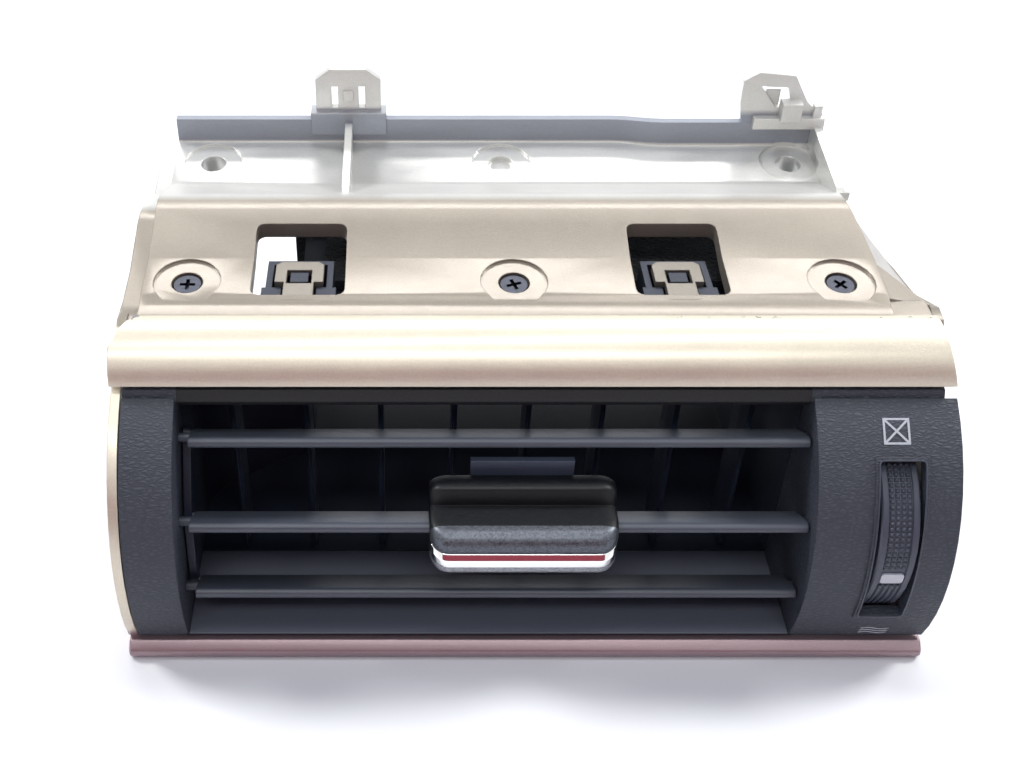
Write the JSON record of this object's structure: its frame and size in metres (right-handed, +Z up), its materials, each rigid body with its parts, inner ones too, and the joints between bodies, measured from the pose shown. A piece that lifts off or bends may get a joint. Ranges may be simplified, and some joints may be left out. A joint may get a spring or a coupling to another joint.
{
  "type": "air vent",
  "caption": "Champagne dashboard air vent with black slatted register, bright-strip slider knob, knurled thumbwheel and snap-fit painted surround",
  "frame": {"origin": "centre of the resting surface under the vent, at the lowest face of its lower trim", "axes": "+X to the vent's right seen from the front, +Y to the back of the vent, +Z up"},
  "size_m": [0.2, 0.125, 0.103],
  "materials": {
    "painted_champagne": "metallic champagne paint over moulded plastic, satin",
    "grained_black": "leather-grained black plastic, low sheen",
    "duct_black": "plain black plastic",
    "slat_grey": "satin charcoal plastic",
    "knob_black": "soft satin black plastic",
    "bright_chrome": "mirror-bright plated strip",
    "link_grey": "grey acetal plastic",
    "foam_black": "black foam and felt",
    "screw_steel": "dark zinc-plated steel"
  },
  "bodies": {
    "base": {"housing": "painted_champagne", "front_bezel": "grained_black", "air_duct": "duct_black", "port_gasket": "foam_black", "roof_felt": "foam_black", "screw_1": "screw_steel", "screw_2": "screw_steel", "screw_3": "screw_steel"},
    "middle_slat": {"slat_middle": "slat_grey"},
    "upper_slat": {"slat_upper": "slat_grey"},
    "lower_slat": {"slat_lower": "slat_grey"},
    "slat_bar": {"slat_link": "link_grey"},
    "knob": {"knob_body": "knob_black", "knob_bright_strip": "bright_chrome", "knob_fork": "link_grey"},
    "vane_body_1": {"vane_1": "duct_black"},
    "vane_body_2": {"vane_2": "duct_black"},
    "vane_body_3": {"vane_3": "duct_black"},
    "vane_body_4": {"vane_4": "duct_black"},
    "vane_body_5": {"vane_5": "duct_black"},
    "vane_body_6": {"vane_6": "duct_black"},
    "vane_body_7": {"vane_7": "duct_black"},
    "vane_body_8": {"vane_8": "duct_black"},
    "vane_bar": {"vane_link": "link_grey"},
    "wheel": {"thumbwheel": "grained_black"},
    "door": {"shutoff_door": "duct_black", "door_seal_front": "foam_black", "door_seal_rear": "foam_black", "door_lever": "link_grey"},
    "rod": {"control_rod": "link_grey"}
  },
  "joints": [
    {"name": "slat_tilt", "type": "hinge", "parent": "base", "child": "middle_slat", "pos_m": [0, -0.04958, 0.03716], "axis": [1, 0, 0], "range_deg": [-20, 20]},
    {"name": "upper_slat_tilt", "type": "hinge", "parent": "base", "child": "upper_slat", "pos_m": [0, -0.03764, 0.05375], "axis": [1, 0, 0], "range_deg": [-22, 22]},
    {"name": "lower_slat_tilt", "type": "hinge", "parent": "base", "child": "lower_slat", "pos_m": [0, -0.0529, 0.01752], "axis": [1, 0, 0], "range_deg": [-22, 22]},
    {"name": "slat_bar_pivot", "type": "hinge", "parent": "middle_slat", "child": "slat_bar", "pos_m": [-0.0834, -0.04584, 0.03525], "axis": [1, 0, 0], "range_deg": [-22, 22]},
    {"name": "knob_slide", "type": "slide", "parent": "middle_slat", "child": "knob", "axis": [1, 0, 0], "range_m": [-0.0064, 0.0064]},
    {"name": "vane_1_turn", "type": "hinge", "parent": "base", "child": "vane_body_1", "pos_m": [-0.0727, -0.0232, 0.037], "axis": [0, 0, 1], "range_deg": [-27, 27]},
    {"name": "vane_2_turn", "type": "hinge", "parent": "base", "child": "vane_body_2", "pos_m": [-0.0545, -0.0232, 0.037], "axis": [0, 0, 1], "range_deg": [-27, 27]},
    {"name": "vane_3_turn", "type": "hinge", "parent": "base", "child": "vane_body_3", "pos_m": [-0.0363, -0.0232, 0.037], "axis": [0, 0, 1], "range_deg": [-27, 27]},
    {"name": "vane_4_turn", "type": "hinge", "parent": "base", "child": "vane_body_4", "pos_m": [-0.0181, -0.0232, 0.037], "axis": [0, 0, 1], "range_deg": [-27, 27]},
    {"name": "vane_5_turn", "type": "hinge", "parent": "base", "child": "vane_body_5", "pos_m": [0.0001, -0.0232, 0.037], "axis": [0, 0, 1], "range_deg": [-27, 27]},
    {"name": "vane_6_turn", "type": "hinge", "parent": "base", "child": "vane_body_6", "pos_m": [0.0183, -0.0232, 0.037], "axis": [0, 0, 1], "range_deg": [-27, 27]},
    {"name": "vane_7_turn", "type": "hinge", "parent": "base", "child": "vane_body_7", "pos_m": [0.0365, -0.0232, 0.037], "axis": [0, 0, 1], "range_deg": [-27, 27]},
    {"name": "vane_8_turn", "type": "hinge", "parent": "base", "child": "vane_body_8", "pos_m": [0.0547, -0.0232, 0.037], "axis": [0, 0, 1], "range_deg": [-27, 27]},
    {"name": "vane_bar_pivot", "type": "hinge", "parent": "vane_body_5", "child": "vane_bar", "pos_m": [0.0001, -0.0182, 0.0626], "axis": [0, 0, 1], "range_deg": [-27, 27]},
    {"name": "thumbwheel_turn", "type": "hinge", "parent": "base", "child": "wheel", "pos_m": [0.0858, -0.03598, 0.03022], "axis": [1, 0, 0], "range_deg": [-66, 0]},
    {"name": "door_turn", "type": "hinge", "parent": "base", "child": "door", "pos_m": [0.003, 0.022, 0.036], "axis": [1, 0, 0], "range_deg": [-67, 1]},
    {"name": "control_rod_pivot", "type": "hinge", "parent": "wheel", "child": "rod", "pos_m": [0.0723, -0.03999, 0.03883], "axis": [1, 0, 0], "range_deg": [-1, 67]}
  ],
  "couplings": [
    {"joint": "upper_slat_tilt", "follows": "slat_tilt", "ratio": 1},
    {"joint": "lower_slat_tilt", "follows": "slat_tilt", "ratio": 1},
    {"joint": "slat_bar_pivot", "follows": "slat_tilt", "ratio": -1},
    {"joint": "vane_1_turn", "follows": "knob_slide", "rad_per_m": 68},
    {"joint": "vane_2_turn", "follows": "knob_slide", "rad_per_m": 68},
    {"joint": "vane_3_turn", "follows": "knob_slide", "rad_per_m": 68},
    {"joint": "vane_4_turn", "follows": "knob_slide", "rad_per_m": 68},
    {"joint": "vane_5_turn", "follows": "knob_slide", "rad_per_m": 68},
    {"joint": "vane_6_turn", "follows": "knob_slide", "rad_per_m": 68},
    {"joint": "vane_7_turn", "follows": "knob_slide", "rad_per_m": 68},
    {"joint": "vane_8_turn", "follows": "knob_slide", "rad_per_m": 68},
    {"joint": "vane_bar_pivot", "follows": "knob_slide", "rad_per_m": -68},
    {"joint": "door_turn", "follows": "thumbwheel_turn", "ratio": 1},
    {"joint": "control_rod_pivot", "follows": "thumbwheel_turn", "ratio": -1}
  ]
}
